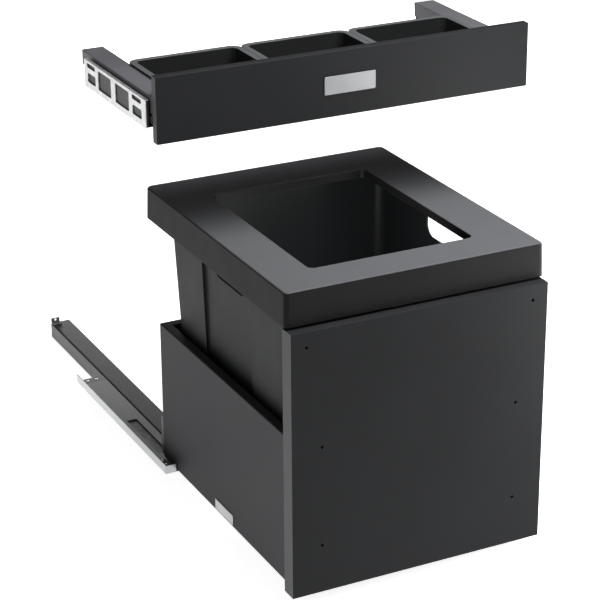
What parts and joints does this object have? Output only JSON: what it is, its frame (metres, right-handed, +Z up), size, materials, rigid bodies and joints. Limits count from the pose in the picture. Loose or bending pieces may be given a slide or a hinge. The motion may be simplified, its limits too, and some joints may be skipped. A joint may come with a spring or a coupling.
{
  "type": "pull-out waste bin unit",
  "caption": "Pull-out kitchen waste unit: mounting front, low carriage, tall bin with a frame lid on telescopic runners, and a shallow inner drawer with trays above.",
  "frame": {"origin": "middle of the footprint, on the cabinet floor that the base profiles lie on", "axes": "+Z up, +Y towards the back of the cabinet, +X to the right of a person facing the front"},
  "size_m": [0.568, 0.986, 0.6885],
  "materials": {
    "front_coat": "anthracite laminate on board, satin",
    "side_coat": "anthracite laminate on board, satin",
    "dark_coat": "anthracite powder coat, fine texture",
    "bin_plastic": "moulded, fine matt grain",
    "lid_plastic": "moulded, satin with fine grain",
    "tray_plastic": "moulded, satin",
    "dark_steel": "dark coated steel, satin",
    "zinc_steel": "zinc plated sheet",
    "bright_steel": "bright zinc plated",
    "badge_steel": "brushed along its length",
    "black_plastic": "moulded, slightly glossy",
    "label": "blank printed plate"
  },
  "bodies": {
    "cabinet_fixings": {"base_profile_left": "dark_steel", "base_profile_right": "dark_steel", "rear_clip_left": "dark_steel", "rear_clip_right": "dark_steel", "cabinet_rail_left": "zinc_steel", "cabinet_rail_right": "zinc_steel", "rail_cover_left": "zinc_steel", "rail_cover_right": "zinc_steel", "rail_end_plate_left": "zinc_steel", "rail_end_plate_right": "zinc_steel", "rail_screw_1_left": "bright_steel", "rail_screw_1_right": "bright_steel", "rail_screw_2_left": "bright_steel", "rail_screw_2_right": "bright_steel", "rail_screw_3_left": "bright_steel", "rail_screw_3_right": "bright_steel", "front_glide_left": "black_plastic", "front_glide_right": "black_plastic", "adapter_plate_left": "bright_steel", "adapter_plate_right": "bright_steel", "slide_block_left": "black_plastic", "slide_block_right": "black_plastic"},
    "middle_rails": {"middle_rail_left": "bright_steel", "middle_rail_right": "bright_steel", "rear_glide_left": "black_plastic", "rear_glide_right": "black_plastic"},
    "carriage": {"front_panel": "front_coat", "side_panel_left": "side_coat", "side_panel_right": "side_coat", "rear_panel": "side_coat", "floor_panel": "side_coat", "front_bracket_left": "zinc_steel", "front_bracket_right": "zinc_steel", "rear_bracket_left": "dark_coat", "rear_bracket_right": "dark_coat", "side_plate": "label", "carriage_runner_left": "zinc_steel", "carriage_runner_right": "zinc_steel", "runner_shoe_1_left": "black_plastic", "runner_shoe_1_right": "black_plastic", "runner_shoe_2_left": "black_plastic", "runner_shoe_2_right": "black_plastic"},
    "bin": {"bin": "bin_plastic"},
    "lid": {"lid_frame": "lid_plastic"},
    "drawer": {"drawer_front": "front_coat", "badge_plate": "badge_steel", "drawer_side_left": "dark_coat", "drawer_side_right": "dark_coat", "drawer_cap_left": "black_plastic", "drawer_cap_right": "black_plastic", "tray_pan": "dark_coat", "drawer_runner_left": "zinc_steel", "drawer_runner_right": "zinc_steel"},
    "drawer_slides": {"drawer_slide_left": "zinc_steel", "drawer_slide_right": "zinc_steel"},
    "tray_left": {"tray_left": "tray_plastic"},
    "tray_centre": {"tray_centre": "tray_plastic"},
    "tray_right": {"tray_right": "tray_plastic"}
  },
  "joints": [
    {"name": "carriage_slide", "type": "slide", "parent": "cabinet_fixings", "child": "carriage", "axis": [0, 1, 0], "range_m": [0, 0.36]},
    {"name": "middle_rail_slide", "type": "slide", "parent": "cabinet_fixings", "child": "middle_rails", "axis": [0, 1, 0], "range_m": [0, 0.18]},
    {"name": "bin_lift", "type": "slide", "parent": "carriage", "child": "bin", "axis": [0, 0, 1], "range_m": [0, 0.09]},
    {"name": "lid_lift", "type": "slide", "parent": "bin", "child": "lid", "axis": [0, 0, 1], "range_m": [0, 0.045]},
    {"name": "drawer_pull", "type": "slide", "parent": "cabinet_fixings", "child": "drawer", "axis": [0, -1, 0], "range_m": [0, 0.18]},
    {"name": "drawer_slide_follow", "type": "slide", "parent": "cabinet_fixings", "child": "drawer_slides", "axis": [0, -1, 0], "range_m": [0, 0.09]},
    {"name": "tray_left_lift", "type": "slide", "parent": "drawer", "child": "tray_left", "axis": [0, 0, 1], "range_m": [0, 0.12]},
    {"name": "tray_centre_lift", "type": "slide", "parent": "drawer", "child": "tray_centre", "axis": [0, 0, 1], "range_m": [0, 0.12]},
    {"name": "tray_right_lift", "type": "slide", "parent": "drawer", "child": "tray_right", "axis": [0, 0, 1], "range_m": [0, 0.12]}
  ],
  "couplings": [
    {"joint": "middle_rail_slide", "follows": "carriage_slide", "ratio": 0.5},
    {"joint": "drawer_slide_follow", "follows": "drawer_pull", "ratio": 0.5}
  ]
}
